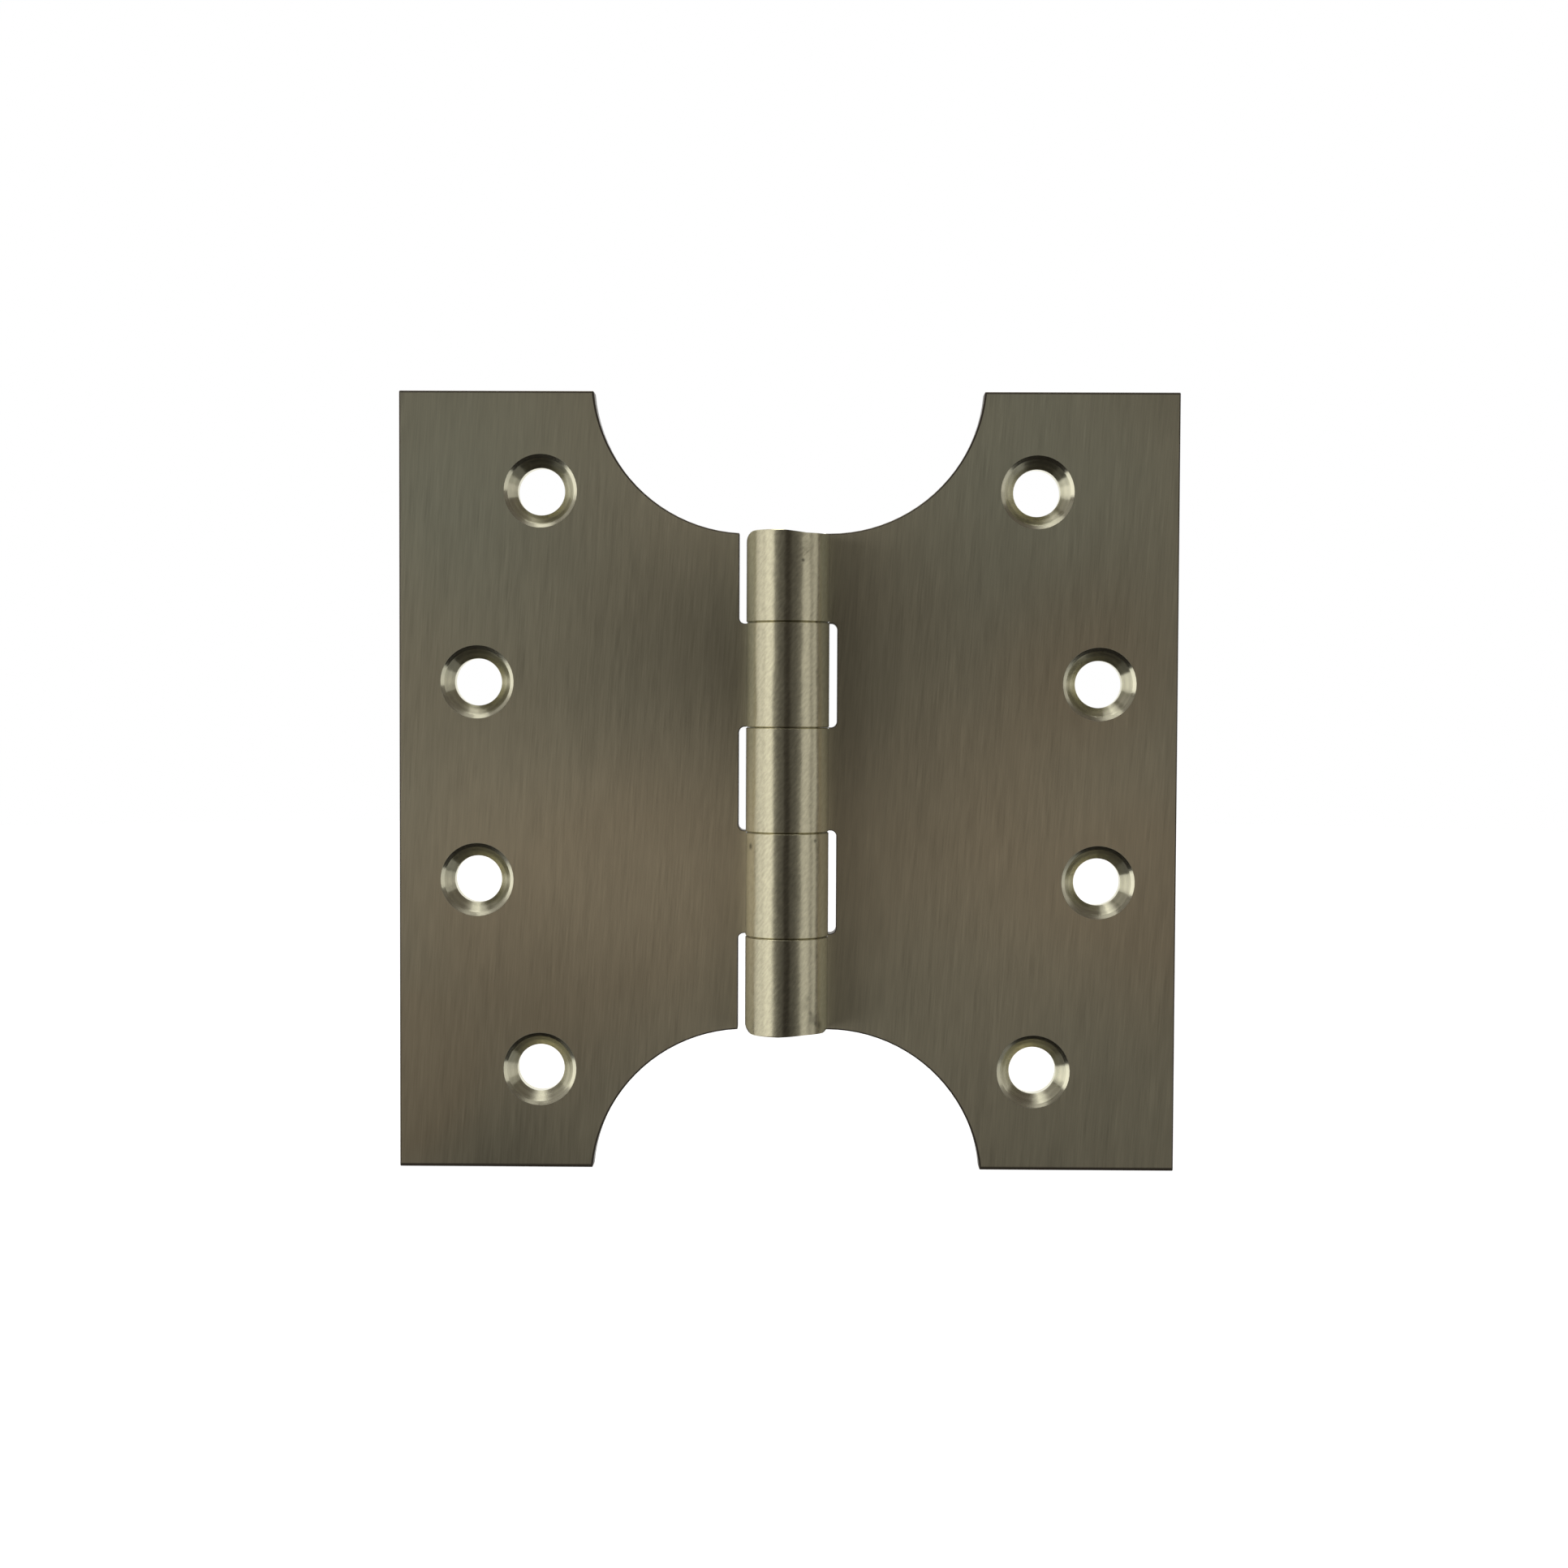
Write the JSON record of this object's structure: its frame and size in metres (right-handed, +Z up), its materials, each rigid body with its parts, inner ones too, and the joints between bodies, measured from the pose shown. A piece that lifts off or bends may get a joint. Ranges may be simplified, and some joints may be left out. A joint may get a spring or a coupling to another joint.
{
  "type": "parliament hinge",
  "caption": "Square parliament hinge, flat open: scooped sheet-metal leaves with countersunk screw holes, rolled knuckles and a plain pin.",
  "frame": {"origin": "on the pin's axis at half the leaves' height", "axes": "+Z up along the pin, +X from the pin across the three-knuckle leaf, +Y out of the leaves' back faces, so the screws go in from the -Y side"},
  "size_m": [0.102, 0.0108, 0.102],
  "materials": {
    "fixed_leaf_plate": "satin nickel plate over steel, brushed up and down, with a warm olive cast",
    "swinging_leaf_plate": "satin nickel plate over steel, brushed up and down, with a warm olive cast",
    "pin_steel": "plain drawn steel bar"
  },
  "bodies": {
    "fixed_leaf": {"three_knuckle_leaf": "fixed_leaf_plate", "hinge_pin": "pin_steel"},
    "swinging_leaf": {"two_knuckle_leaf": "swinging_leaf_plate"}
  },
  "joints": [
    {"name": "leaf_swing", "type": "hinge", "parent": "fixed_leaf", "child": "swinging_leaf", "pos_m": [0, 0, 0], "axis": [0, 0, 1], "range_deg": [-95, 185]}
  ]
}
